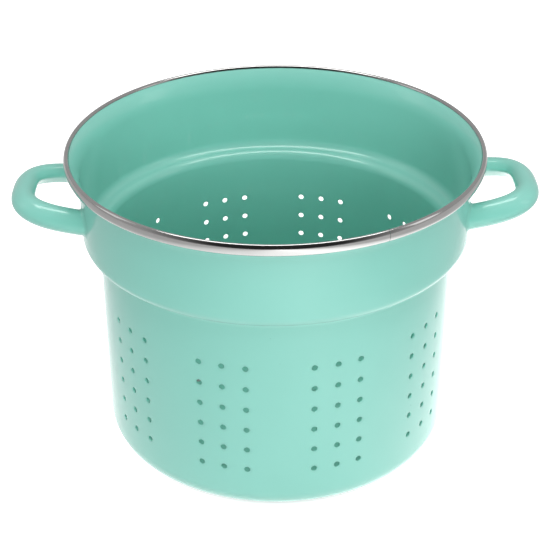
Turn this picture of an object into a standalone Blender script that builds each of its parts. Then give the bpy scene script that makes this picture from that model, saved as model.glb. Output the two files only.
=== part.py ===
"""Strainer insert of an enamelled canning pot, built as its separate real pieces.

Metres, +Z up. The origin is on the vessel's axis at the level of its base. +X points at the
right handle and -Y is the front. The body is one drawn and perforated sheet-steel shell with a
rolled lip, the rim band is a stainless strip wrapped round that lip, and two pressed hollow
handles are welded to the collar.
"""

import math

import bmesh
import bpy
from mathutils import Matrix, Vector

OBJECT_NAME = "canner_strainer_insert"

# Driving dimensions
TOTAL_HEIGHT = 0.2128
RIM_RADIUS = 0.1400
WALL_RADIUS = 0.1200
COLLAR_RADIUS = 0.1312
SHEET = 0.0010
GAP = 0.0003

# Body
BASE_CORNER_RADIUS = 0.0146
SHOULDER_TOP_Z = 0.1570
SHOULDER_RADIUS = 0.0080
NECK_RADIUS = 0.0065
LIP_TURN = math.radians(45)
LIP_END = math.radians(-40)

# Rim band, a tall rounded C-section round the rolled lip
BAND_HALF_WIDTH = 0.0021
BAND_HALF_HEIGHT = 0.0039
BAND_SHEET = 0.0005
BAND_INNER_EDGE = math.radians(140)
BAND_LOWER_EDGE = math.radians(-110)

# Perforations
HOLE_RADIUS = 0.00185
HOLE_GROUPS = 10
HOLE_COLUMNS = 3
HOLE_ROWS = 6
HOLE_PITCH = 0.0159
LOWEST_ROW_Z = 0.0336
BASE_RING_PITCH = 0.0170
BASE_RINGS = 4

# Handles
HANDLE_ROOT_RADIUS = 0.1260
HANDLE_REACH = 0.0436
HANDLE_HALF_WIDTH = 0.0326
HANDLE_SPREAD = 0.063
HANDLE_SQUARENESS = 2.9
HANDLE_RISE = math.radians(9.3)
HANDLE_ROOT_Z = 0.1740
HANDLE_INSET = 0.0100
SECTION_LONG = 0.0083
SECTION_OUTER = 0.0067
SECTION_INNER = 0.0050
SECTION_LEAN = math.radians(44.5)
OUTER_SQUARENESS = 2.1
INNER_SQUARENESS = 4.3

# Facets
TURNS = 60
HOLE_SIDES = 6
SPINE_POINTS = 26
SECTION_POINTS = 12

# The rolled lip and the rim band bend round the same upper and lower centres
LIP_CENTRE_R = RIM_RADIUS - BAND_HALF_WIDTH
LIP_UPPER_Z = TOTAL_HEIGHT - BAND_HALF_WIDTH
LIP_LOWER_Z = LIP_UPPER_Z - 2 * (BAND_HALF_HEIGHT - BAND_HALF_WIDTH)
LIP_INSIDE = BAND_HALF_WIDTH - BAND_SHEET - GAP - SHEET


def clear_scene():
    for item in list(bpy.data.objects):
        bpy.data.objects.remove(item, do_unlink=True)


def make_collection(name):
    collection = bpy.data.collections.new(name)
    bpy.context.scene.collection.children.link(collection)
    return collection


def make_material(name, colour, roughness, metallic):
    material = bpy.data.materials.new(name)
    material.use_nodes = True
    shader = material.node_tree.nodes["Principled BSDF"]
    shader.inputs["Base Color"].default_value = (*colour, 1.0)
    shader.inputs["Roughness"].default_value = roughness
    shader.inputs["Metallic"].default_value = metallic
    return material


def mesh_object(name, bm, collection):
    mesh = bpy.data.meshes.new(name)
    bm.to_mesh(mesh)
    bm.free()
    item = bpy.data.objects.new(name, mesh)
    collection.objects.link(item)
    return item


def arc(centre_r, centre_z, radius, start, end, segments):
    """Points (r, z) on an arc, both ends included."""
    points = []
    for step in range(segments + 1):
        angle = start + (end - start) * step / segments
        points.append((centre_r + radius * math.cos(angle), centre_z + radius * math.sin(angle)))
    return points


def turned(name, profile, collection):
    """Turn an open (r, z) profile about Z; it runs down the outer side, top to bottom."""
    bm = bmesh.new()
    verts = [bm.verts.new((r, 0.0, z)) for r, z in profile]
    for first, second in zip(verts, verts[1:]):
        bm.edges.new((first, second))
    bmesh.ops.rotate(bm, verts=bm.verts, matrix=Matrix.Rotation(math.pi / TURNS, 3, "Z"))
    item = mesh_object(name, bm, collection)
    screw = item.modifiers.new("turn", "SCREW")
    screw.axis = "Z"
    screw.steps = TURNS
    screw.render_steps = TURNS
    screw.use_merge_vertices = True
    screw.merge_threshold = 0.00001
    return item


def thicken(item, thickness):
    """Add the sheet's thickness behind the modelled face."""
    solidify = item.modifiers.new("sheet", "SOLIDIFY")
    solidify.thickness = thickness
    solidify.offset = -1.0
    solidify.use_even_offset = True


def cut(item, cutter):
    boolean = item.modifiers.new("cut", "BOOLEAN")
    boolean.operation = "DIFFERENCE"
    boolean.solver = "EXACT"
    boolean.object = cutter


def finish(item, material):
    item.data.materials.append(material)
    item.data.shade_smooth()
    item.data.set_sharp_from_angle(angle=math.radians(35))


def mark_cutter(item):
    item.hide_render = True
    item.display_type = "WIRE"


def body_profile():
    """The shell's outer face, from the end of the rolled lip down to the middle of the base."""
    lip_start = math.pi - LIP_TURN
    lip = arc(LIP_CENTRE_R, LIP_LOWER_Z, LIP_INSIDE, LIP_END, 0.0, 1)
    lip += arc(LIP_CENTRE_R, LIP_UPPER_Z, LIP_INSIDE, 0.0, lip_start, 4)
    tangent_r, tangent_z = lip[-1]
    flare_radius = (tangent_r - COLLAR_RADIUS) / (1.0 - math.cos(LIP_TURN))
    flare_z = tangent_z - flare_radius * math.sin(LIP_TURN)
    flare = arc(COLLAR_RADIUS + flare_radius, flare_z, flare_radius, lip_start, math.pi, 3)
    radii = SHOULDER_RADIUS + NECK_RADIUS
    across = radii - (COLLAR_RADIUS - WALL_RADIUS)
    shoulder_turn = math.acos(across / radii)
    neck_z = SHOULDER_TOP_Z - radii * math.sin(shoulder_turn)
    shoulder_centre = COLLAR_RADIUS - SHOULDER_RADIUS
    shoulder = arc(shoulder_centre, SHOULDER_TOP_Z, SHOULDER_RADIUS, 0.0, -shoulder_turn, 3)
    neck_start = math.pi - shoulder_turn
    neck = arc(WALL_RADIUS + NECK_RADIUS, neck_z, NECK_RADIUS, neck_start, math.pi, 3)
    corner_centre = WALL_RADIUS - BASE_CORNER_RADIUS
    corner = arc(corner_centre, BASE_CORNER_RADIUS, BASE_CORNER_RADIUS, 0.0, -math.pi / 2, 4)
    return lip + flare[1:] + shoulder + neck[1:] + corner + [(0.0, 0.0)]


def add_hole_cutter(bm, place):
    bmesh.ops.create_cone(
        bm,
        cap_ends=True,
        segments=HOLE_SIDES,
        radius1=HOLE_RADIUS,
        radius2=HOLE_RADIUS,
        depth=SHEET * 6,
        matrix=place,
    )


def wall_hole_places():
    """Ten blocks of three columns and six rows, spaced evenly round the wall."""
    pitch_angle = HOLE_PITCH / WALL_RADIUS
    outward = Matrix.Translation((0.0, -WALL_RADIUS, 0.0)) @ Matrix.Rotation(math.pi / 2, 4, "X")
    for group in range(HOLE_GROUPS):
        group_angle = (group + 0.5) * math.tau / HOLE_GROUPS
        for column in range(HOLE_COLUMNS):
            angle = group_angle + (column - (HOLE_COLUMNS - 1) / 2) * pitch_angle
            for row in range(HOLE_ROWS):
                lift = Matrix.Translation((0.0, 0.0, LOWEST_ROW_Z + row * HOLE_PITCH))
                yield lift @ Matrix.Rotation(angle, 4, "Z") @ outward


def base_hole_places():
    """A centre hole and rings of 6, 12, 18 and 24 round it."""
    yield Matrix.Identity(4)
    for ring in range(1, BASE_RINGS + 1):
        for number in range(6 * ring):
            turn = Matrix.Rotation(number * math.tau / (6 * ring), 4, "Z")
            yield turn @ Matrix.Translation((BASE_RING_PITCH * ring, 0.0, 0.0))


def make_hole_cutters(collection):
    bm = bmesh.new()
    for place in wall_hole_places():
        add_hole_cutter(bm, place)
    for place in base_hole_places():
        add_hole_cutter(bm, place)
    cutter = mesh_object("hole_cutters", bm, collection)
    mark_cutter(cutter)
    return cutter


def make_body(parts, cutters, material):
    body = turned("strainer_body", body_profile(), parts)
    thicken(body, SHEET)
    cut(body, make_hole_cutters(cutters))
    finish(body, material)


def make_rim_band(parts, material):
    outer = arc(LIP_CENTRE_R, LIP_UPPER_Z, BAND_HALF_WIDTH, BAND_INNER_EDGE, 0.0, 4)
    outer += arc(LIP_CENTRE_R, LIP_LOWER_Z, BAND_HALF_WIDTH, 0.0, BAND_LOWER_EDGE, 3)
    band = turned("rim_band", outer, parts)
    thicken(band, BAND_SHEET)
    finish(band, material)


def signed_power(value, exponent):
    return math.copysign(abs(value) ** exponent, value)


def handle_spine():
    """Half of a superellipse seen from above, its legs spreading a little towards the collar."""
    points = [(-HANDLE_INSET, -HANDLE_HALF_WIDTH * (1 + HANDLE_SPREAD))]
    for step in range(SPINE_POINTS):
        angle = -math.pi / 2 + math.pi * step / (SPINE_POINTS - 1)
        out = HANDLE_REACH * signed_power(math.cos(angle), 2 / HANDLE_SQUARENESS)
        side = HANDLE_HALF_WIDTH * signed_power(math.sin(angle), 2 / HANDLE_SQUARENESS)
        points.append((out, side * (1 + HANDLE_SPREAD * (1 - out / HANDLE_REACH))))
    points.append((-HANDLE_INSET, HANDLE_HALF_WIDTH * (1 + HANDLE_SPREAD)))
    return points


def handle_section():
    """A leaning oval, full on its outer side and flatter on its inner, lower side."""
    points = []
    for step in range(SECTION_POINTS):
        angle = math.tau * step / SECTION_POINTS
        full = math.cos(angle) > 0
        depth = SECTION_OUTER if full else SECTION_INNER
        squareness = OUTER_SQUARENESS if full else INNER_SQUARENESS
        short = depth * signed_power(math.cos(angle), 2 / squareness)
        long = SECTION_LONG * signed_power(math.sin(angle), 2 / squareness)
        out = short * math.cos(SECTION_LEAN) - long * math.sin(SECTION_LEAN)
        up = short * math.sin(SECTION_LEAN) + long * math.cos(SECTION_LEAN)
        points.append((out, up))
    return points


def make_handle_shell(name, guides):
    """Sweep the section along the spine and return the open tube, its faces pointing outwards."""
    section_curve = bpy.data.curves.new(name + "_section", "CURVE")
    section_curve.dimensions = "2D"
    section = section_curve.splines.new("POLY")
    outline = handle_section()
    section.points.add(len(outline) - 1)
    for point, (out, up) in zip(section.points, outline):
        point.co = (out, up, 0.0, 1.0)
    section.use_cyclic_u = True
    section_object = bpy.data.objects.new(name + "_section", section_curve)
    guides.objects.link(section_object)
    mark_cutter(section_object)
    spine_curve = bpy.data.curves.new(name + "_spine", "CURVE")
    spine_curve.dimensions = "3D"
    spine_curve.twist_mode = "Z_UP"
    spine_curve.bevel_mode = "OBJECT"
    spine_curve.bevel_object = section_object
    spine = spine_curve.splines.new("POLY")
    route = handle_spine()
    spine.points.add(len(route) - 1)
    for point, (out, side) in zip(spine.points, route):
        point.co = (out, side, 0.0, 1.0)
    spine_object = bpy.data.objects.new(name + "_spine", spine_curve)
    guides.objects.link(spine_object)
    bpy.context.view_layer.update()
    evaluated = spine_object.evaluated_get(bpy.context.evaluated_depsgraph_get())
    mesh = bpy.data.meshes.new_from_object(evaluated)
    mesh.flip_normals()
    bpy.data.objects.remove(spine_object, do_unlink=True)
    return mesh


def make_collar_cutter(collection):
    """A drum that trims the handle feet to the collar, a gap clear of its face."""
    bm = bmesh.new()
    bmesh.ops.create_cone(
        bm,
        cap_ends=True,
        segments=TURNS,
        radius1=COLLAR_RADIUS + GAP,
        radius2=COLLAR_RADIUS + GAP,
        depth=0.08,
        matrix=Matrix.Translation((0.0, 0.0, HANDLE_ROOT_Z)) @ Matrix.Rotation(math.pi / TURNS, 4, "Z"),
    )
    cutter = mesh_object("collar_cutter", bm, collection)
    mark_cutter(cutter)
    return cutter


def make_handle(name, turn, collar_cutter, parts, guides, material):
    mesh = make_handle_shell(name, guides)
    mesh.name = name
    root = Matrix.Translation((HANDLE_ROOT_RADIUS, 0.0, HANDLE_ROOT_Z))
    tilt = Matrix.Rotation(-HANDLE_RISE, 4, "Y")
    mesh.transform(Matrix.Rotation(turn, 4, "Z") @ root @ tilt)
    handle = bpy.data.objects.new(name, mesh)
    parts.objects.link(handle)
    thicken(handle, SHEET)
    cut(handle, collar_cutter)
    finish(handle, material)


def main():
    clear_scene()
    parts = make_collection(OBJECT_NAME)
    cutters = make_collection("cutters")
    mint = (0.36, 0.70, 0.61)
    make_body(parts, cutters, make_material("mint_enamel", mint, 0.15, 0.0))
    make_rim_band(parts, make_material("stainless_band", (0.62, 0.61, 0.60), 0.12, 1.0))
    collar_cutter = make_collar_cutter(cutters)
    for name, turn in (("handle_right", 0.0), ("handle_left", math.pi)):
        enamel = make_material(name + "_enamel", mint, 0.15, 0.0)
        make_handle(name, turn, collar_cutter, parts, cutters, enamel)


main()
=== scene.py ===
import math

import bmesh
import bpy
import numpy as np
from mathutils import Matrix, Vector


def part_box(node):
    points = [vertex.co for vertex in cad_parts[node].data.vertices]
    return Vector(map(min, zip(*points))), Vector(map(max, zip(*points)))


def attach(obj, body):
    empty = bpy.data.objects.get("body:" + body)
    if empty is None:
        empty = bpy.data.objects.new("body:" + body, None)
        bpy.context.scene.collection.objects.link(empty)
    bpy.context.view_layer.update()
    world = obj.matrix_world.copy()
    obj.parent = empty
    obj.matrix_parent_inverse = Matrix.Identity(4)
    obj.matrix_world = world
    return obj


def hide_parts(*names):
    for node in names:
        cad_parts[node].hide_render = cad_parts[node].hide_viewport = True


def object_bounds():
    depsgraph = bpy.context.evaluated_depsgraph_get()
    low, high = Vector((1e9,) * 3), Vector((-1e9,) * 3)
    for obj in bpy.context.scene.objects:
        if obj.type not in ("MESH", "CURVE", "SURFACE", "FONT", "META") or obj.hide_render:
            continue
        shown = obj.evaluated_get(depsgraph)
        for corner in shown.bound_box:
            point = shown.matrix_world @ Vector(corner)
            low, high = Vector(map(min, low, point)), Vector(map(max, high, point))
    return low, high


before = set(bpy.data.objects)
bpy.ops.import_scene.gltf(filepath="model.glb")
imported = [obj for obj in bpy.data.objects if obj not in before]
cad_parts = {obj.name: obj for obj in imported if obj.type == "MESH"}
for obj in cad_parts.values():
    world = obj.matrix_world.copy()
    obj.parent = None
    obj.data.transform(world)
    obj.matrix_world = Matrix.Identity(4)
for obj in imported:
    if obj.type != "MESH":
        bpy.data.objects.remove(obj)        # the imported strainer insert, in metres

cadLow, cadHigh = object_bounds()
print("frame loaded, box", [round(v, 4) for v in (*cadLow, *cadHigh)])

shadeAttribute = "paintedShadeMask"        # painted shade at hole lips, handle feet and the strip's cut edges, 0 to 1
weldDistance = 0.00001


def addNode(tree, kind, inputs=None, **settings):
    node = tree.nodes.new(kind)
    for name, value in settings.items():
        setattr(node, name, value)
    for key, value in (inputs or {}).items():
        if isinstance(value, bpy.types.NodeSocket):
            tree.links.new(value, node.inputs[key])
        else:
            node.inputs[key].default_value = value
    return node


def addMath(tree, operation, first, second=0.0):
    return addNode(tree, "ShaderNodeMath", {0: first, 1: second}, operation=operation).outputs[0]


def addVector(tree, x=0.0, y=0.0, z=0.0):
    return addNode(tree, "ShaderNodeCombineXYZ", {0: x, 1: y, 2: z}).outputs[0]


def addMove(tree, geometry, **changes):
    inputs = {"Geometry": geometry} | {name.title(): value for name, value in changes.items()}
    return addNode(tree, "GeometryNodeTransform", inputs).outputs[0]


def splitPosition(tree):
    position = addNode(tree, "GeometryNodeInputPosition").outputs[0]
    return position, addNode(tree, "ShaderNodeSeparateXYZ", {0: position}).outputs


def newTree(name, kind, inputs, outputs):
    tree = bpy.data.node_groups.new(name, kind)
    for label, socketType, default in inputs:
        socket = tree.interface.new_socket(label, in_out="INPUT", socket_type=socketType)
        if default is not None:
            socket.default_value = default
    for label, socketType in outputs:
        tree.interface.new_socket(label, in_out="OUTPUT", socket_type=socketType)
    start = tree.nodes.new("NodeGroupInput").outputs
    end = tree.nodes.new("NodeGroupOutput").inputs
    return tree, start, end


def joinGeometry(tree, sockets):
    join = tree.nodes.new("GeometryNodeJoinGeometry")
    for socket in sockets:
        tree.links.new(socket, join.inputs[0])
    return join.outputs[0]


def closeTree(tree, geometry, material, end):
    # every tree ends the same way: real geometry, one material
    real = addNode(tree, "GeometryNodeRealizeInstances", {0: geometry}).outputs[0]
    welded = addNode(tree, "GeometryNodeMergeByDistance", {"Geometry": real, "Distance": weldDistance})
    smooth = addNode(tree, "GeometryNodeSetShadeSmooth", {0: welded.outputs[0]})
    painted = addNode(tree, "GeometryNodeSetMaterial", {0: smooth.outputs[0], "Material": material})
    tree.links.new(painted.outputs[0], end[0])


def runTree(tree, mesh, values):
    # run a geometry tree on a mesh and hand back the plain result
    holder = bpy.data.objects.new(mesh.name, mesh)
    bpy.context.scene.collection.objects.link(holder)
    modifier = holder.modifiers.new("shape", "NODES")
    modifier.node_group = tree
    for socket in tree.interface.items_tree:
        if socket.in_out == "INPUT" and socket.name in values:
            modifier[socket.identifier] = values[socket.name]
    bpy.context.view_layer.update()
    evaluated = holder.evaluated_get(bpy.context.evaluated_depsgraph_get())
    result = bpy.data.meshes.new_from_object(evaluated)
    holder.modifiers.remove(modifier)
    bpy.data.objects.remove(holder)
    return result


def meshFrom(name, points, faces=(), edges=()):
    mesh = bpy.data.meshes.new(name)
    mesh.from_pydata([tuple(p) for p in points], list(edges), list(faces))
    return mesh


def setShadeMask(mesh, values):
    layer = mesh.attributes.get(shadeAttribute) or mesh.attributes.new(shadeAttribute, "FLOAT", "POINT")
    layer.data.foreach_set("value", np.asarray(values, dtype=np.float32))


def newPiece(name, mesh, material, slot, *nodes):
    mesh.name = name
    mesh.materials.clear()
    mesh.materials.append(material)
    mesh.shade_smooth()
    piece = bpy.data.objects.new(name, mesh)
    bpy.context.scene.collection.objects.link(piece)
    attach(piece, "root")
    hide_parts(*nodes)
    print("made", name, len(mesh.polygons), "faces")
    return piece


def arcPoints(centreR, centreZ, radius, start, end, segments):
    angles = np.linspace(start, end, segments + 1)
    return [(centreR + radius * math.cos(a), centreZ + radius * math.sin(a)) for a in angles]


def makeGlazeGroup():
    # glassy enamel: slow colour drift, painted shade that deepens the tint at hole lips and handle
    # feet, faint orange peel and rare specks
    tree, start, end = newTree("enamelGlaze", "ShaderNodeTree", [
        ("Tint", "NodeSocketColor", (0.26, 0.65, 0.54, 1.0)),
        ("Drift And Shade Tint", "NodeSocketColor", (0.10, 0.38, 0.31, 1.0)),
        ("Speck Tint", "NodeSocketColor", (0.05, 0.16, 0.14, 1.0)),
        ("Painted Shade", "NodeSocketFloat", 0.0),
        ("Drift", "NodeSocketFloat", 0.10),
        ("Undercoat Roughness", "NodeSocketFloat", 0.56),
        ("Peel Size", "NodeSocketFloat", 0.0022),
    ], [("Colour", "NodeSocketColor"), ("Roughness", "NodeSocketFloat"), ("Height", "NodeSocketFloat")])
    place = addNode(tree, "ShaderNodeTexCoord").outputs["Object"]
    drift = addNode(tree, "ShaderNodeTexNoise", {"Vector": place, "Scale": 14.0, "Detail": 3.0})
    cloud = addNode(tree, "ShaderNodeMapRange", {
        "Value": drift.outputs[0], "From Min": 0.35, "From Max": 0.65})
    driftAmount = addMath(tree, "MULTIPLY", cloud.outputs[0], start["Drift"])
    # painted shade: the mask deepens the tint at hole lips and handle feet
    shadeAmount = addMath(tree, "MULTIPLY", start["Painted Shade"], 0.55)
    mixAmount = addMath(tree, "MINIMUM", addMath(tree, "ADD", driftAmount, shadeAmount), 1.0)
    base = addNode(tree, "ShaderNodeMix", {
        "Factor": mixAmount, 6: start["Tint"], 7: start["Drift And Shade Tint"]}, data_type="RGBA")
    cells = addNode(tree, "ShaderNodeTexVoronoi", {"Vector": place, "Scale": 170.0, "Randomness": 1.0})
    dot = addNode(tree, "ShaderNodeMapRange", {
        "Value": cells.outputs["Distance"], "From Min": 0.05, "From Max": 0.09,
        "To Min": 1.0, "To Max": 0.0})
    luck = addNode(tree, "ShaderNodeSeparateColor", {0: cells.outputs["Color"]})
    rare = addMath(tree, "GREATER_THAN", luck.outputs[0], 0.985)
    speck = addMath(tree, "MULTIPLY", dot.outputs[0], rare)
    speckAmount = addMath(tree, "MULTIPLY", speck, 0.45)
    spotted = addNode(tree, "ShaderNodeMix", {
        "Factor": speckAmount, 6: base.outputs[2], 7: start["Speck Tint"]}, data_type="RGBA")
    tree.links.new(spotted.outputs[2], end["Colour"])
    haze = addNode(tree, "ShaderNodeTexNoise", {"Vector": place, "Scale": 45.0, "Detail": 4.0})
    hazeAmount = addMath(tree, "MULTIPLY", haze.outputs[0], 0.06)
    rough = addMath(tree, "ADD", hazeAmount, start["Undercoat Roughness"])
    speckRough = addMath(tree, "MULTIPLY", speck, 0.15)
    tree.links.new(addMath(tree, "ADD", rough, speckRough), end["Roughness"])
    peelScale = addMath(tree, "DIVIDE", 1.0, start["Peel Size"])
    peel = addNode(tree, "ShaderNodeTexNoise", {"Vector": place, "Scale": peelScale, "Detail": 1.5})
    swell = addNode(tree, "ShaderNodeTexNoise", {"Vector": place, "Scale": 60.0, "Detail": 1.0})
    bumps = addMath(tree, "ADD", peel.outputs[0], addMath(tree, "MULTIPLY", swell.outputs[0], 4.0))
    speckDent = addMath(tree, "MULTIPLY", speck, 0.8)
    tree.links.new(addMath(tree, "SUBTRACT", bumps, speckDent), end["Height"])
    return tree


def makePolishGroup():
    # polished strip: hairlines that run along it, faint smears, and a rougher cut edge whose darker
    # tint is painted shade where the strip meets the enamel
    tree, start, end = newTree("polishedStrip", "ShaderNodeTree", [
        ("Tint", "NodeSocketColor", (0.72, 0.71, 0.70, 1.0)),
        ("Smear And Shade Tint", "NodeSocketColor", (0.42, 0.41, 0.41, 1.0)),
        ("Edge", "NodeSocketFloat", 0.0),
        ("Hairlines", "NodeSocketFloat", 0.06),
        ("Gloss", "NodeSocketFloat", 0.07),
    ], [("Colour", "NodeSocketColor"), ("Roughness", "NodeSocketFloat"), ("Height", "NodeSocketFloat")])
    strip = addNode(tree, "ShaderNodeTexCoord").outputs["UV"]
    stretched = addNode(tree, "ShaderNodeMapping", {"Vector": strip, "Scale": (18.0, 5200.0, 1.0)})
    lines = addNode(tree, "ShaderNodeTexNoise", {
        "Vector": stretched.outputs[0], "Scale": 1.0, "Detail": 3.0})
    place = addNode(tree, "ShaderNodeTexCoord").outputs["Object"]
    smear = addNode(tree, "ShaderNodeTexNoise", {"Vector": place, "Scale": 35.0, "Detail": 3.0})
    smearAmount = addNode(tree, "ShaderNodeMapRange", {
        "Value": smear.outputs[0], "From Min": 0.4, "From Max": 0.7, "To Min": 0.0, "To Max": 0.25})
    # random smears and painted shade along the cut edges both darken the tint
    smearAndShade = addMath(tree, "MAXIMUM", smearAmount.outputs[0], start["Edge"])
    tone = addNode(tree, "ShaderNodeMix", {
        "Factor": smearAndShade, 6: start["Tint"], 7: start["Smear And Shade Tint"]}, data_type="RGBA")
    tree.links.new(tone.outputs[2], end["Colour"])
    lineRough = addMath(tree, "MULTIPLY", lines.outputs[0], start["Hairlines"])
    rough = addMath(tree, "ADD", lineRough, start["Gloss"])
    edgeRough = addMath(tree, "MULTIPLY", start["Edge"], 0.25)
    tree.links.new(addMath(tree, "ADD", rough, edgeRough), end["Roughness"])
    tree.links.new(lines.outputs[0], end["Height"])
    return tree


enamelLook = {
    "tint": (0.245, 0.680, 0.575, 1.0),
    "driftAndShadeTint": (0.140, 0.480, 0.380, 1.0),
    "specular": 0.7,
    "coat": 0.8,
    "coatRoughness": 0.03,
    "bump": 0.10,
    "bumpDistance": 0.0002,
}

steelLook = {
    "tint": (0.41, 0.405, 0.40, 1.0),
    "smearAndShadeTint": (0.28, 0.27, 0.27, 1.0),
    "bump": 0.06,
    "bumpDistance": 0.00005,
}


def makeMaterial(name, group, values, look, metallic):
    material = bpy.data.materials.new(name)
    material.use_nodes = True
    tree = material.node_tree
    shader = tree.nodes["Principled BSDF"]
    shadeLevel = addNode(tree, "ShaderNodeAttribute", attribute_name=shadeAttribute)
    skin = tree.nodes.new("ShaderNodeGroup")
    skin.node_tree = group
    for label, value in values.items():
        skin.inputs[label].default_value = value
    mask = "Painted Shade" if "Painted Shade" in skin.inputs else "Edge"
    tree.links.new(shadeLevel.outputs["Fac"], skin.inputs[mask])
    bump = addNode(tree, "ShaderNodeBump", {
        "Height": skin.outputs["Height"], "Strength": look["bump"], "Distance": look["bumpDistance"]})
    tree.links.new(skin.outputs["Colour"], shader.inputs["Base Color"])
    tree.links.new(skin.outputs["Roughness"], shader.inputs["Roughness"])
    tree.links.new(bump.outputs[0], shader.inputs["Normal"])
    shader.inputs["Metallic"].default_value = metallic
    if "coat" in look:
        shader.inputs["Specular IOR Level"].default_value = look["specular"]
        shader.inputs["Coat Weight"].default_value = look["coat"]
        shader.inputs["Coat Roughness"].default_value = look["coatRoughness"]
    return material


glazeGroup = makeGlazeGroup()
polishGroup = makePolishGroup()
glazeValues = {"Tint": enamelLook["tint"], "Drift And Shade Tint": enamelLook["driftAndShadeTint"]}
bodyEnamel = makeMaterial("mintEnamelBody", glazeGroup, glazeValues, enamelLook, 0.0)
handleValues = glazeValues | {"Drift": 0.06}
handleEnamel = makeMaterial("mintEnamelHandle", glazeGroup, handleValues, enamelLook, 0.0)
polishValues = {"Tint": steelLook["tint"], "Smear And Shade Tint": steelLook["smearAndShadeTint"]}
bandSteel = makeMaterial("polishedBand", polishGroup, polishValues, steelLook, 1.0)
print("materials ready")


frameFlats = 60        # the frame's turned solids have this many flats, so their box is a little small
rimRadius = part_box("rim_band")[1].x / math.cos(math.pi / frameFlats)

band = {
    "halfWidth": 0.0021,
    "halfHeight": 0.0039,
    "strip": 0.0005,
    "gap": 0.0003,
    "innerEdge": math.radians(140),
    "lowerEdge": math.radians(-110),
    "seamAngle": math.radians(-62),
    "seamGap": 0.00012,
    "steps": 480,
    "sectionSteps": 36,
    "dullShadedEdges": (0.0002, 0.0003),        # how far the rougher cut edges with painted shade reach
}

bandArc = (band["halfWidth"] + band["halfHeight"]) / 2        # roughly, for lengths along the section

body = {
    "wallRadius": 0.1200,
    "collarRadius": 0.1312,
    "sheet": 0.0010,
    "cornerRadius": 0.0146,
    "shoulderTop": 0.1570,
    "shoulderRadius": 0.0080,
    "neckRadius": 0.0065,
    "lipTurn": math.radians(45),
    "lipEnd": math.radians(-40),
    "floorMargin": 0.003,        # a flat ring between the bend and the drilled floor
    "steps": 240,
}

holes = {
    "radius": 0.00198,
    "lip": 0.00020,        # rounding of the enamel at each hole
    "edgeShade": 0.35,        # painted shade where that rounding starts
    "flange": 0.0042,        # the flat ring round each hole
    "floorFlange": 0.0030,
    "segments": 20,
    "groups": 10,
    "columns": 3,
    "rows": 6,
    "rowPitch": 0.0158,
    "columnAngle": math.radians(7.5),
    "lowestRow": 0.0336,
    "floorRings": 4,
    "floorPitch": 0.0170,
}

holeTurns = np.arange(holes["segments"]) * math.tau / holes["segments"]
faceLevels = (0.0, -body["sheet"])        # a flat sheet's outer and inner face

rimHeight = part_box("rim_band")[1].z
bandR = rimRadius - band["halfWidth"]
bandUpper = (bandR, rimHeight - band["halfWidth"])        # the lip bends round these two centres
bandLower = (bandR, rimHeight + band["halfWidth"] - 2 * band["halfHeight"])
bandMiddle = rimHeight - band["halfHeight"]
floorEdge = body["wallRadius"] - body["cornerRadius"] - body["floorMargin"]
lipInside = band["halfWidth"] - band["strip"] - band["gap"] - body["sheet"]
fieldBottom = holes["lowestRow"] - holes["rowPitch"] / 2
fieldTop = fieldBottom + holes["rows"] * holes["rowPitch"]
halfStep = math.pi / body["steps"]


def roundedEdge(first, last, before):
    # a half circle from the first point round to the last, leaving the line that comes from before
    middle = (Vector(first) + Vector(last)) / 2
    across = Vector(first) - middle
    along = (Vector(first) - Vector(before)).normalized() * across.length
    turns = np.linspace(0, math.pi, 7)[1:-1]
    return [tuple(middle + across * math.cos(a) + along * math.sin(a)) for a in turns]


def upperFace(depth):
    # one face of the sheet, from the end of the rolled lip down to the holes; depth 0 is outside
    lipStart = math.pi - body["lipTurn"]
    lip = arcPoints(*bandLower, lipInside + depth, body["lipEnd"], 0.0, 4)
    lip += arcPoints(*bandUpper, lipInside + depth, 0.0, lipStart, 12)
    tangentR = bandUpper[0] + lipInside * math.cos(lipStart)
    tangentZ = bandUpper[1] + lipInside * math.sin(lipStart)
    flareRadius = (tangentR - body["collarRadius"]) / (1 - math.cos(body["lipTurn"]))
    flareZ = tangentZ - flareRadius * math.sin(body["lipTurn"])
    flareR = body["collarRadius"] + flareRadius
    flare = arcPoints(flareR, flareZ, flareRadius + depth, lipStart, math.pi, 8)
    radii = body["shoulderRadius"] + body["neckRadius"]
    turn = math.acos((radii - (body["collarRadius"] - body["wallRadius"])) / radii)
    neckZ = body["shoulderTop"] - radii * math.sin(turn)
    shoulderR = body["collarRadius"] - body["shoulderRadius"]
    shoulder = arcPoints(shoulderR, body["shoulderTop"], body["shoulderRadius"] - depth, 0.0, -turn, 10)
    neckR = body["wallRadius"] + body["neckRadius"]
    neck = arcPoints(neckR, neckZ, body["neckRadius"] + depth, math.pi - turn, math.pi, 10)
    collarHeights = np.linspace(flareZ, body["shoulderTop"], 5)[1:-1]
    collar = [(body["collarRadius"] - depth, z) for z in collarHeights]
    wall = [(body["wallRadius"] - depth, z) for z in np.linspace(neckZ, fieldTop, 4)[1:]]
    return lip + flare[1:] + collar + shoulder + neck[1:] + wall


def upperProfile():
    # up the inner face, round the lip's cut edge and down the outer face
    outer, inner = upperFace(0.0), upperFace(body["sheet"])
    return inner[::-1] + roundedEdge(inner[0], outer[0], inner[1]) + outer


def lowerFace(depth):
    # from the bottom of the holes down to the flat floor
    centre = body["wallRadius"] - body["cornerRadius"]
    corner = body["cornerRadius"]
    wall = [(body["wallRadius"] - depth, z) for z in np.linspace(fieldBottom, corner, 3)[:-1]]
    bend = arcPoints(centre, corner, corner - depth, 0.0, -math.pi / 2, 10)
    return wall + bend + [(floorEdge, bend[-1][1])]


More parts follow.
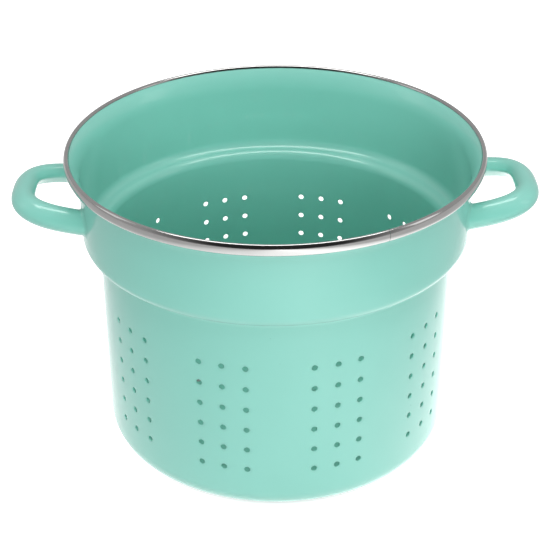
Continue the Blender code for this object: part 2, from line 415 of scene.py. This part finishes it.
def makeTurningTree():
    # turn an (r, z) outline about Z: a grid gives the steps, the outline gives each column its place
    tree, start, end = newTree("turnedOutline", "GeometryNodeTree", [
        ("Outline", "NodeSocketGeometry", None),
        ("Steps", "NodeSocketInt", 240),
        ("Start Angle", "NodeSocketFloat", 0.0),
        ("Sweep", "NodeSocketFloat", math.tau),
        ("Material", "NodeSocketMaterial", None),
    ], [("Geometry", "NodeSocketGeometry")])
    size = addNode(tree, "GeometryNodeAttributeDomainSize", {0: start["Outline"]}, component="MESH")
    count = size.outputs[0]
    lastPoint = addMath(tree, "SUBTRACT", count, 1.0)
    grid = addNode(tree, "GeometryNodeMeshGrid", {
        "Size X": lastPoint, "Size Y": start["Steps"], "Vertices X": count,
        "Vertices Y": addMath(tree, "ADD", start["Steps"], 1.0)})
    position, where = splitPosition(tree)
    middlePoint = addMath(tree, "MULTIPLY", lastPoint, 0.5)
    number = addMath(tree, "ROUND", addMath(tree, "ADD", where[0], middlePoint))
    step = addMath(tree, "ADD", where[1], addMath(tree, "MULTIPLY", start["Steps"], 0.5))
    outline = addNode(tree, "GeometryNodeSampleIndex", {
        "Geometry": start["Outline"], "Value": position, "Index": number},
        data_type="FLOAT_VECTOR", domain="POINT")
    point = addNode(tree, "ShaderNodeSeparateXYZ", {0: outline.outputs[0]})
    share = addMath(tree, "DIVIDE", step, start["Steps"])
    angle = addMath(tree, "ADD", addMath(tree, "MULTIPLY", share, start["Sweep"]), start["Start Angle"])
    x = addMath(tree, "MULTIPLY", point.outputs[0], addMath(tree, "COSINE", angle))
    y = addMath(tree, "MULTIPLY", point.outputs[0], addMath(tree, "SINE", angle))
    place = addVector(tree, x, y, point.outputs[2])
    moved = addNode(tree, "GeometryNodeSetPosition", {"Geometry": grid.outputs[0], "Position": place})
    closeTree(tree, moved.outputs[0], start["Material"], end)
    return tree


def makeWallTree():
    # repeat one drilled tile in blocks, add the plain strips between, bend the panels round the wall
    tree, start, end = newTree("perforatedWall", "GeometryNodeTree", [
        ("Tile", "NodeSocketGeometry", None),
        ("Columns", "NodeSocketInt", 3),
        ("Rows", "NodeSocketInt", 6),
        ("Column Pitch", "NodeSocketFloat", 0.0157),
        ("Row Pitch", "NodeSocketFloat", 0.0158),
        ("Gap Width", "NodeSocketFloat", 0.028),
        ("Gap Segments", "NodeSocketInt", 9),
        ("Row Segments", "NodeSocketInt", 30),
        ("Wall Radius", "NodeSocketFloat", 0.12),
        ("Sheet", "NodeSocketFloat", 0.001),
        ("Middle Height", "NodeSocketFloat", 0.07),
        ("Groups", "NodeSocketInt", 10),
        ("Material", "NodeSocketMaterial", None),
    ], [("Geometry", "NodeSocketGeometry")])
    columnSteps = addMath(tree, "SUBTRACT", start["Columns"], 1.0)
    rowSteps = addMath(tree, "SUBTRACT", start["Rows"], 1.0)
    spots = addNode(tree, "GeometryNodeMeshGrid", {
        "Size X": addMath(tree, "MULTIPLY", columnSteps, start["Column Pitch"]),
        "Size Y": addMath(tree, "MULTIPLY", rowSteps, start["Row Pitch"]),
        "Vertices X": start["Columns"], "Vertices Y": start["Rows"]})
    tiles = addNode(tree, "GeometryNodeInstanceOnPoints", {
        "Points": spots.outputs[0], "Instance": start["Tile"]})
    strip = addNode(tree, "GeometryNodeMeshGrid", {
        "Size X": start["Gap Width"],
        "Size Y": addMath(tree, "MULTIPLY", start["Rows"], start["Row Pitch"]),
        "Vertices X": addMath(tree, "ADD", start["Gap Segments"], 1.0),
        "Vertices Y": addMath(tree, "ADD", start["Row Segments"], 1.0)})
    blockWidth = addMath(tree, "MULTIPLY", start["Columns"], start["Column Pitch"])
    aside = addMath(tree, "MULTIPLY", addMath(tree, "ADD", blockWidth, start["Gap Width"]), 0.5)
    behind = addMath(tree, "MULTIPLY", start["Sheet"], -1.0)
    outer = addMove(tree, strip.outputs[0], translation=addVector(tree, aside))
    turned = addNode(tree, "GeometryNodeFlipFaces", {0: strip.outputs[0]})
    inner = addMove(tree, turned.outputs[0], translation=addVector(tree, aside, z=behind))
    panel = joinGeometry(tree, [tiles.outputs[0], outer, inner])
    flat = addNode(tree, "GeometryNodeRealizeInstances", {0: panel}).outputs[0]
    position, where = splitPosition(tree)
    angle = addMath(tree, "DIVIDE", where[0], start["Wall Radius"])
    radius = addMath(tree, "ADD", where[2], start["Wall Radius"])
    x = addMath(tree, "MULTIPLY", radius, addMath(tree, "SINE", angle))
    y = addMath(tree, "MULTIPLY", radius, addMath(tree, "COSINE", angle))
    z = addMath(tree, "ADD", where[1], start["Middle Height"])
    place = addVector(tree, x, addMath(tree, "MULTIPLY", y, -1.0), z)
    bent = addNode(tree, "GeometryNodeSetPosition", {"Geometry": flat, "Position": place})
    ring = addNode(tree, "GeometryNodeMeshLine", {"Count": start["Groups"], "Offset": (0.0, 0.0, 0.0)})
    share = addMath(tree, "DIVIDE", math.tau, start["Groups"])
    order = addMath(tree, "ADD", addNode(tree, "GeometryNodeInputIndex").outputs[0], 0.5)
    spin = addVector(tree, z=addMath(tree, "MULTIPLY", order, share))
    panels = addNode(tree, "GeometryNodeInstanceOnPoints", {
        "Points": ring.outputs[0], "Instance": bent.outputs[0], "Rotation": spin})
    closeTree(tree, panels.outputs[0], start["Material"], end)
    return tree


def makeFloorTree():
    # fill the floor round rings of holes, top and bottom, and set a rounded lip in every hole
    tree, start, end = newTree("perforatedFloor", "GeometryNodeTree", [
        ("Lip", "NodeSocketGeometry", None),
        ("Ring Pitch", "NodeSocketFloat", 0.017),
        ("Lip Radius", "NodeSocketFloat", 0.0022),
        ("Floor Radius", "NodeSocketFloat", 0.105),
        ("Sheet", "NodeSocketFloat", 0.001),
        ("Hole Segments", "NodeSocketInt", 20),
        ("Rim Segments", "NodeSocketInt", 240),
        ("Rim Turn", "NodeSocketFloat", 0.0),
        ("Material", "NodeSocketMaterial", None),
    ], [("Geometry", "NodeSocketGeometry")])
    rings = [addNode(tree, "GeometryNodeMeshLine", {"Count": 1}).outputs[0]]
    for number in range(1, holes["floorRings"] + 1):
        radius = addMath(tree, "MULTIPLY", start["Ring Pitch"], float(number))
        ring = addNode(tree, "GeometryNodeMeshCircle", {"Vertices": 6 * number, "Radius": radius})
        rings.append(ring.outputs[0])
    spots = joinGeometry(tree, rings)
    lips = addNode(tree, "GeometryNodeInstanceOnPoints", {"Points": spots, "Instance": start["Lip"]})
    circle = addNode(tree, "GeometryNodeCurvePrimitiveCircle", {
        "Resolution": start["Hole Segments"], "Radius": start["Lip Radius"]})
    circles = addNode(tree, "GeometryNodeInstanceOnPoints", {
        "Points": spots, "Instance": circle.outputs[0]})
    openings = addNode(tree, "GeometryNodeRealizeInstances", {0: circles.outputs[0]})
    edge = addNode(tree, "GeometryNodeCurvePrimitiveCircle", {
        "Resolution": start["Rim Segments"], "Radius": start["Floor Radius"]})
    edgeTurned = addMove(tree, edge.outputs[0], rotation=addVector(tree, z=start["Rim Turn"]))
    outline = joinGeometry(tree, [openings.outputs[0], edgeTurned])
    sheetFace = addNode(tree, "GeometryNodeFillCurve", {0: outline})
    rise = addVector(tree, z=start["Sheet"])
    top = addMove(tree, sheetFace.outputs[0], translation=rise)
    bottom = addNode(tree, "GeometryNodeFlipFaces", {0: sheetFace.outputs[0]})
    lifted = addMove(tree, lips.outputs[0], translation=rise)
    everything = joinGeometry(tree, [lifted, top, bottom.outputs[0]])
    closeTree(tree, everything, start["Material"], end)
    return tree


def holeRing(radius, phase, z):
    return [(radius * math.cos(a), radius * math.sin(a), z) for a in phase + holeTurns]


def lipRings(phase):
    # rounded hole edge through the sheet: rings of points from the outer face down to the inner face
    lip, radius, sheet = holes["lip"], holes["radius"], body["sheet"]
    bends = np.linspace(0, math.pi / 2, 4)
    outline = [(radius + lip - lip * math.sin(a), -lip + lip * math.cos(a)) for a in bends]
    outline += [(r, -sheet - z) for r, z in outline[::-1]]
    return [holeRing(r, phase, z) for r, z in outline]


def bridgeRings(name, rings, shadeLevels):
    count = len(rings[0])
    points = [p for ring in rings for p in ring]
    faces = []
    for row in range(len(rings) - 1):
        here, there = row * count, (row + 1) * count
        for n in range(count):
            m = (n + 1) % count
            faces.append((here + n, here + m, there + m, there + n))
    mesh = meshFrom(name, points, faces)
    setShadeMask(mesh, [shadeLevel for shadeLevel in shadeLevels for _ in range(count)])
    return mesh


def squareRing(width, height, z):
    # the tile's border, with as many points as a hole
    side = holes["segments"] // 4
    ring = []
    for quarter in range(4):
        for n in range(side):
            t = n / side * 2 - 1
            x, y = ((1, t), (-t, 1), (-1, -t), (t, -1))[quarter]
            ring.append((x * width / 2, y * height / 2, z))
    return ring


def makeTile(width, height):
    # one drilled cell of the wall, lying flat, its outer face up
    turn = -math.pi / 4
    core = lipRings(turn)
    borders = [[squareRing(width, height, z), holeRing(holes["flange"], turn, z)] for z in faceLevels]
    shadeLevels = [0.0, 0.0] + lipShadeLevels(len(core)) + [0.0, 0.0]
    return bridgeRings("perforationTile", borders[0] + core + borders[1][::-1], shadeLevels)


# painted shade through each hole's rounded lip, full inside the hole
def lipShadeLevels(count):
    return [holes["edgeShade"]] + [1.0] * (count - 2) + [holes["edgeShade"]]


def turnOutline(name, outline, steps, startAngle, sweep, material):
    edges = [(n, n + 1) for n in range(len(outline) - 1)]
    line = meshFrom(name, [(r, 0.0, z) for r, z in outline], edges=edges)
    values = {"Steps": steps, "Start Angle": startAngle, "Sweep": sweep, "Material": material}
    return runTree(turningTree, line, values)


def joinMeshes(name, meshes):
    bm = bmesh.new()
    for mesh in meshes:
        if shadeAttribute not in mesh.attributes:
            setShadeMask(mesh, np.zeros(len(mesh.vertices)))
        bm.from_mesh(mesh)
    bmesh.ops.remove_doubles(bm, verts=bm.verts, dist=weldDistance)
    openEdges = [edge for edge in bm.edges if not edge.is_manifold]
    joined = bpy.data.meshes.new(name)
    print(name, "volume cm3", round(bm.calc_volume(signed=True) * 1e6, 2), "open edges", len(openEdges))
    bm.to_mesh(joined)
    bm.free()
    return joined


turningTree = makeTurningTree()


def makeBody():
    steps = body["steps"]
    columnPitch = holes["columnAngle"] * body["wallRadius"]
    groupWidth = math.tau * body["wallRadius"] / holes["groups"]
    gapWidth = groupWidth - holes["columns"] * columnPitch
    stepWidth = math.tau * body["wallRadius"] / steps
    tileSegments = holes["segments"] // 4
    tile = makeTile(columnPitch, holes["rowPitch"])
    wall = runTree(makeWallTree(), tile, {
        "Columns": holes["columns"], "Rows": holes["rows"],
        "Column Pitch": columnPitch, "Row Pitch": holes["rowPitch"],
        "Gap Width": gapWidth, "Gap Segments": round(gapWidth / stepWidth),
        "Row Segments": tileSegments * holes["rows"],
        "Wall Radius": body["wallRadius"], "Sheet": body["sheet"],
        "Middle Height": (fieldBottom + fieldTop) / 2, "Groups": holes["groups"],
        "Material": bodyEnamel})
    outlines = {
        "upperSkin": upperProfile(),
        "lowerOutside": lowerFace(0.0),
        "lowerInside": lowerFace(body["sheet"])[::-1]}
    skins = [turnOutline(*item, steps, halfStep, math.tau, bodyEnamel) for item in outlines.items()]
    core = lipRings(0.0)
    flatTop, flatBottom = (holeRing(holes["floorFlange"], 0.0, z) for z in faceLevels)
    shadeLevels = [0.0] + lipShadeLevels(len(core)) + [0.0]
    lip = bridgeRings("floorLip", [flatTop] + core + [flatBottom], shadeLevels)
    floor = runTree(makeFloorTree(), lip, {
        "Ring Pitch": holes["floorPitch"], "Lip Radius": holes["floorFlange"],
        "Floor Radius": floorEdge, "Sheet": body["sheet"],
        "Hole Segments": holes["segments"], "Rim Segments": steps, "Rim Turn": halfStep,
        "Material": bodyEnamel})
    shell = joinMeshes("enamelShell", [wall, *skins, floor])
    return newPiece("enamelShell", shell, bodyEnamel, "body_enamel", "strainer_body")


makeBody()


def ovalPoints(width, height, start, end, steps):
    angles = np.linspace(start, end, steps + 1)
    return [(bandR + width * math.cos(t), bandMiddle + height * math.sin(t)) for t in angles]


def bandOutline():
    # oval C section: over the top on the outside, then back on the inside, with rounded edges
    width, height, strip = band["halfWidth"], band["halfHeight"], band["strip"]
    start, end, steps = band["innerEdge"], band["lowerEdge"], band["sectionSteps"]
    outer = ovalPoints(width, height, start, end, steps)
    inner = ovalPoints(width - strip, height - strip, end, start, steps)
    lowerEdge = roundedEdge(outer[-1], inner[0], outer[-2])
    upperEdge = roundedEdge(inner[-1], outer[0], inner[-2])
    loop = outer + lowerEdge + inner + upperEdge
    return loop + loop[:1]


def bandPosition(out, z):
    # distance along the strip's section from its lower edge
    angle = math.atan2(z / band["halfHeight"], out / band["halfWidth"])
    return (angle - band["lowerEdge"]) * bandArc


def makeBand():
    gap = band["seamGap"] / rimRadius
    start, sweep = band["seamAngle"] + gap, math.tau - 2 * gap
    mesh = turnOutline("rimStrip", bandOutline(), band["steps"], start, sweep, bandSteel)
    bm = bmesh.new()
    bm.from_mesh(mesh)
    bmesh.ops.holes_fill(bm, edges=[edge for edge in bm.edges if edge.is_boundary], sides=0)
    bmesh.ops.recalc_face_normals(bm, faces=bm.faces)
    along, across = [], []
    for vertex in bm.verts:
        x, y, z = vertex.co
        along.append((math.atan2(y, x) - band["seamAngle"]) % math.tau * rimRadius)
        across.append(bandPosition(math.hypot(x, y) - bandR, z - bandMiddle))
    layer = bm.loops.layers.uv.new("strip")
    for face in bm.faces:
        for loop in face.loops:
            loop[layer].uv = (along[loop.vert.index], across[loop.vert.index])
    print("rimStrip volume cm3", round(bm.calc_volume(signed=True) * 1e6, 2))
    bm.to_mesh(mesh)
    bm.free()
    span = (band["innerEdge"] - band["lowerEdge"]) * bandArc
    lower, upper = band["dullShadedEdges"]
    # painted shade along the strip's two cut edges, where they meet the enamel
    setShadeMask(mesh, [1.0 if a < lower or abs(a - span) < upper else 0.0 for a in across])
    piece = newPiece("rimStrip", mesh, bandSteel, "rim_steel", "rim_band")
    piece.data.set_sharp_from_angle(angle=math.radians(40))


makeBand()


handle = {
    "rootRadius": 0.1260,
    "rootHeight": 0.1740,
    "reach": 0.0436,
    "halfWidth": 0.0326,
    "spread": 0.063,
    "squareness": 2.9,
    "rise": math.radians(9.3),
    "sectionLong": 0.00826,
    "sectionOuter": 0.00673,
    "sectionInner": 0.0050,
    "lean": math.radians(44.5),
    "outerSquareness": 2.14,
    "innerSquareness": 4.3,
    "spineSteps": 96,
    "sectionSteps": 48,
    "weld": 0.0024,
    "weldSteps": 7,
    "weldReach": 0.00324,        # the plain arm starts this far from the collar
    "weldShade": 0.5,        # painted shade at the foot, fading out along the arm
    "weldFade": [0.6, 0.3, 0.1],
    "inset": 0.0100,
}


def signedPower(value, exponent):
    return np.sign(value) * np.abs(value) ** exponent


def evenly(points, count):
    # the same line with evenly spaced points
    steps = np.linalg.norm(np.diff(points, axis=0), axis=1)
    length = np.concatenate([[0.0], np.cumsum(steps)])
    wanted = np.linspace(0.0, length[-1], count)
    return np.stack([np.interp(wanted, length, points[:, axis]) for axis in range(points.shape[1])], 1)


def handleSpine():
    angles = np.linspace(-math.pi / 2, math.pi / 2, 2001)
    power = 2 / handle["squareness"]
    out = handle["reach"] * signedPower(np.cos(angles), power)
    side = handle["halfWidth"] * signedPower(np.sin(angles), power)
    side = side * (1 + handle["spread"] * (1 - out / handle["reach"]))
    foot = handle["halfWidth"] * (1 + handle["spread"])
    start, end = [(-handle["inset"], -foot)], [(-handle["inset"], foot)]
    line = np.concatenate([start, np.stack([out, side], 1), end])
    return evenly(line, handle["spineSteps"] + 1)


def handleSection():
    # a leaning oval, full on its upper outer side and flatter below and inside
    angles = np.linspace(0, math.tau, 721)
    full = np.cos(angles) > 0
    depth = np.where(full, handle["sectionOuter"], handle["sectionInner"])
    power = 2 / np.where(full, handle["outerSquareness"], handle["innerSquareness"])
    short = depth * signedPower(np.cos(angles), power)
    long = handle["sectionLong"] * signedPower(np.sin(angles), power)
    lean = handle["lean"]
    out = short * math.cos(lean) - long * math.sin(lean)
    up = short * math.sin(lean) + long * math.cos(lean)
    return evenly(np.stack([out, up], 1), handle["sectionSteps"] + 1)[:-1]


def weldedEnd(lines):
    # lines run from the foot outwards; each is cut at the collar and turns onto it in a small fillet
    collar, weld = body["collarRadius"], handle["weld"]
    rings = [[] for _ in range(handle["weldSteps"] + 2)]
    meets = []
    for line in lines:
        radius = np.hypot(line[:, 0], line[:, 1])
        first = int(np.argmax(radius > collar))
        t = (collar - radius[first - 1]) / (radius[first] - radius[first - 1])
        meets.append(line[first - 1] + (line[first] - line[first - 1]) * t)
    middle = np.mean(meets, axis=0)
    for line, meet in zip(lines, meets):
        radius = np.hypot(line[:, 0], line[:, 1])
        first = int(np.argmax(radius > collar))
        leg = line[first] - line[first - 1]
        leg = leg / np.linalg.norm(leg)
        outward = np.array([meet[0], meet[1], 0.0]) / collar
        spreadOut = meet - middle
        spreadOut = spreadOut - outward * np.dot(spreadOut, outward)
        spreadOut = spreadOut / np.linalg.norm(spreadOut)
        far = meet + leg * weld
        near = meet + spreadOut * weld
        near[:2] *= collar / np.hypot(near[0], near[1])
        for n in range(handle["weldSteps"] + 1):
            t = n / handle["weldSteps"]
            rings[n + 1].append(near * (1 - t) ** 2 + meet * 2 * t * (1 - t) + far * t ** 2)
        buried = near.copy()
        buried[:2] *= (collar - body["sheet"] * 0.5) / np.hypot(near[0], near[1])
        rings[0].append(buried)
    return rings


def makeHandle(name, turn, *nodes):
    spine, section = handleSpine(), handleSection()
    tangent = np.gradient(spine, axis=0)
    tangent = tangent / np.linalg.norm(tangent, axis=1)[:, None]
    out = np.stack([tangent[:, 1], -tangent[:, 0]], 1)
    flat = spine[:, None, :] + out[:, None, :] * section[None, :, :1]
    height = np.broadcast_to(section[None, :, 1], flat.shape[:2])
    tube = np.concatenate([flat, height[:, :, None]], axis=2)
    rise = handle["rise"]
    x, y, z = tube[:, :, 0], tube[:, :, 1], tube[:, :, 2]
    liftedX = x * math.cos(rise) - z * math.sin(rise) + handle["rootRadius"]
    liftedZ = x * math.sin(rise) + z * math.cos(rise) + handle["rootHeight"]
    lifted = np.stack([liftedX, y, liftedZ], axis=2)
    half = len(spine) // 2
    startRings = weldedEnd([lifted[:half, j] for j in range(len(section))])
    endRings = weldedEnd([lifted[:half - 1:-1, j] for j in range(len(section))])
    limit = body["collarRadius"] + handle["weldReach"]
    between = [list(ring) for ring in lifted if np.hypot(ring[:, 0], ring[:, 1]).min() > limit]
    rings = startRings + between + endRings[::-1]
    # painted shade at both feet where the handle meets the collar, fading along the arm
    fade = handle["weldFade"]
    footShadeLevels = [1.0] * (len(startRings) - len(fade)) + fade
    shadeLevels = footShadeLevels + [0.0] * len(between) + footShadeLevels[::-1]
    mesh = bridgeRings(name, rings, [shadeLevel * handle["weldShade"] for shadeLevel in shadeLevels])
    bm = bmesh.new()
    bm.from_mesh(mesh)
    bmesh.ops.holes_fill(bm, edges=[edge for edge in bm.edges if edge.is_boundary], sides=0)
    bmesh.ops.rotate(bm, verts=bm.verts, matrix=Matrix.Rotation(turn, 3, "Z"))
    bmesh.ops.recalc_face_normals(bm, faces=bm.faces)
    print(name, "volume cm3", round(bm.calc_volume(signed=True) * 1e6, 2))
    bm.to_mesh(mesh)
    bm.free()
    newPiece(name, mesh, handleEnamel, "handle_enamel", *nodes)


makeHandle("loopHandleRight", 0.0, "handle_right")
makeHandle("loopHandleLeft", math.pi, "handle_left")


studio = {
    "floorSize": 30.0,
    "floorColour": (0.45, 0.45, 0.45, 1.0),
    "floorRoughness": 0.9,
    "tableGlow": 1.1,        # a lit white table
    "bounceGlow": 0.12,
    # place from left to right and strength
    "sheenGlow": ((0.0, 0.45), (0.38, 1.45), (0.66, 2.2), (0.85, 1.4), (1.0, 0.5)),
    "sheenWidth": 0.7,
    "baseShade": (0.105, 0.115),        # unlit under the base
    "floorDrop": 0.0002,
    "room": (0.62, 0.62, 0.62),
    "behindCamera": (0.04, 0.04, 0.04),
    "darkSide": (0.0, -0.89, 0.46),        # direction of the dark end of the room
    "darkSpread": (0.35, 0.85),
}

softboxes = (
    # name, place, size, power, lights the surfaces, seen in reflections
    ("overheadStrip", (0.0, 0.05, 1.5), (1.6, 0.35), 12.0, False, True),
    ("topFill", (0.1, -0.7, 1.5), (1.2, 1.0), 8.0, True, False),
    ("left", (-1.5, 0.1, 0.9), (0.5, 0.8), 1.0, True, True),
    ("right", (1.5, -0.3, 0.8), (0.5, 0.8), 1.3, True, True),
    ("frontFill", (0.20, -2.2, 0.9), (1.4, 0.8), 25.5, True, False),
)

cameraPlace = {
    "reach": 0.8676,
    "height": 0.6184,
    "azimuth": math.radians(-1.0),
    "tilt": math.radians(59.72),
    "roll": math.radians(-0.41),
    "lens": 94.08,
    "shift": -0.0020,
}


def makeFloor():
    half = studio["floorSize"] / 2
    corners = [(-half, -half, 0.0), (half, -half, 0.0), (half, half, 0.0), (-half, half, 0.0)]
    mesh = meshFrom("studioFloor", corners, [(0, 1, 2, 3)])
    material = bpy.data.materials.new("paleFloor")
    material.use_nodes = True
    tree = material.node_tree
    shader = tree.nodes["Principled BSDF"]
    shader.inputs["Base Color"].default_value = studio["floorColour"]
    shader.inputs["Roughness"].default_value = studio["floorRoughness"]
    shader.inputs["Emission Color"].default_value = (1.0, 1.0, 1.0, 1.0)
    spot = addNode(tree, "ShaderNodeTexCoord").outputs["Object"]
    place = addNode(tree, "ShaderNodeSeparateXYZ", {0: spot})
    sheen = addNode(tree, "ShaderNodeMapRange", {
        "Value": place.outputs[0],
        "From Min": -studio["sheenWidth"] / 2, "From Max": studio["sheenWidth"] / 2})
    sheenRamp = addNode(tree, "ShaderNodeValToRGB", {0: sheen.outputs[0]})
    for position, _ in studio["sheenGlow"][1:-1]:
        sheenRamp.color_ramp.elements.new(position)
    for element, (position, level) in zip(sheenRamp.color_ramp.elements, studio["sheenGlow"]):
        element.position = position
        element.color = (level, level, level, 1.0)
    ray = addNode(tree, "ShaderNodeLightPath")
    seen = addMath(tree, "MULTIPLY", ray.outputs["Is Camera Ray"], studio["tableGlow"])
    bounced = addMath(tree, "MULTIPLY", ray.outputs["Is Diffuse Ray"], studio["bounceGlow"])
    mirrored = addMath(tree, "MULTIPLY", ray.outputs["Is Glossy Ray"], sheenRamp.outputs[0])
    glow = addMath(tree, "ADD", addMath(tree, "ADD", seen, bounced), mirrored)
    reach = addNode(tree, "ShaderNodeVectorMath", {0: spot}, operation="LENGTH")
    clear = addNode(tree, "ShaderNodeMapRange", {
        "Value": reach.outputs["Value"],
        "From Min": studio["baseShade"][0], "From Max": studio["baseShade"][1]})
    strength = addMath(tree, "MULTIPLY", glow, clear.outputs[0])
    tree.links.new(strength, shader.inputs["Emission Strength"])
    below = addNode(tree, "ShaderNodeNewGeometry")        # seen through from underneath
    openWay = addNode(tree, "ShaderNodeBsdfTransparent")
    mixed = addNode(tree, "ShaderNodeMixShader", {
        0: below.outputs["Backfacing"], 1: shader.outputs[0], 2: openWay.outputs[0]})
    tree.links.new(mixed.outputs[0], tree.nodes["Material Output"].inputs["Surface"])
    mesh.materials.append(material)
    floor = bpy.data.objects.new("studioFloor", mesh)
    bpy.context.scene.collection.objects.link(floor)
    floor.location.z = cadLow.z - studio["floorDrop"]


def makeWorld():
    world = bpy.data.worlds.new("studioWorld")
    bpy.context.scene.world = world
    world.use_nodes = True
    tree = world.node_tree
    direction = addNode(tree, "ShaderNodeTexCoord").outputs["Generated"]
    facing = addNode(tree, "ShaderNodeVectorMath", {
        0: direction, 1: studio["darkSide"]}, operation="DOT_PRODUCT")
    ramp = addNode(tree, "ShaderNodeValToRGB", {0: facing.outputs["Value"]})
    tones = (studio["room"], studio["behindCamera"])
    for element, place, tone in zip(ramp.color_ramp.elements, studio["darkSpread"], tones):
        element.position = place
        element.color = (*tone, 1.0)
    tree.links.new(ramp.outputs[0], tree.nodes["Background"].inputs["Color"])


def makeLights():
    target = Vector((0.0, 0.0, 0.1))
    for name, place, size, power, lights, reflected in softboxes:
        light = bpy.data.lights.new(name, "AREA")
        light.shape = "RECTANGLE"
        light.size, light.size_y = size
        light.energy = power
        lamp = bpy.data.objects.new(name, light)
        bpy.context.scene.collection.objects.link(lamp)
        lamp.location = place
        lamp.visible_glossy = reflected
        lamp.visible_diffuse = lights
        lamp.rotation_euler = (target - Vector(place)).to_track_quat("-Z", "Y").to_euler()


def makeCamera():
    data = bpy.data.cameras.new("viewer")
    data.lens = cameraPlace["lens"]
    data.shift_x = cameraPlace["shift"]
    camera = bpy.data.objects.new("viewer", data)
    bpy.context.scene.collection.objects.link(camera)
    azimuth = cameraPlace["azimuth"]
    reach = cameraPlace["reach"]
    spot = (reach * math.sin(azimuth), -reach * math.cos(azimuth), cameraPlace["height"])
    place = Matrix.Translation(spot)
    turn = Matrix.Rotation(azimuth, 4, "Z") @ Matrix.Rotation(cameraPlace["tilt"], 4, "X")
    camera.matrix_world = place @ turn @ Matrix.Rotation(cameraPlace["roll"], 4, "Z")
    bpy.context.scene.camera = camera


makeFloor()
makeWorld()
makeLights()
makeCamera()
bpy.context.scene.view_settings.view_transform = "Standard"
print("floor, lights and camera set")
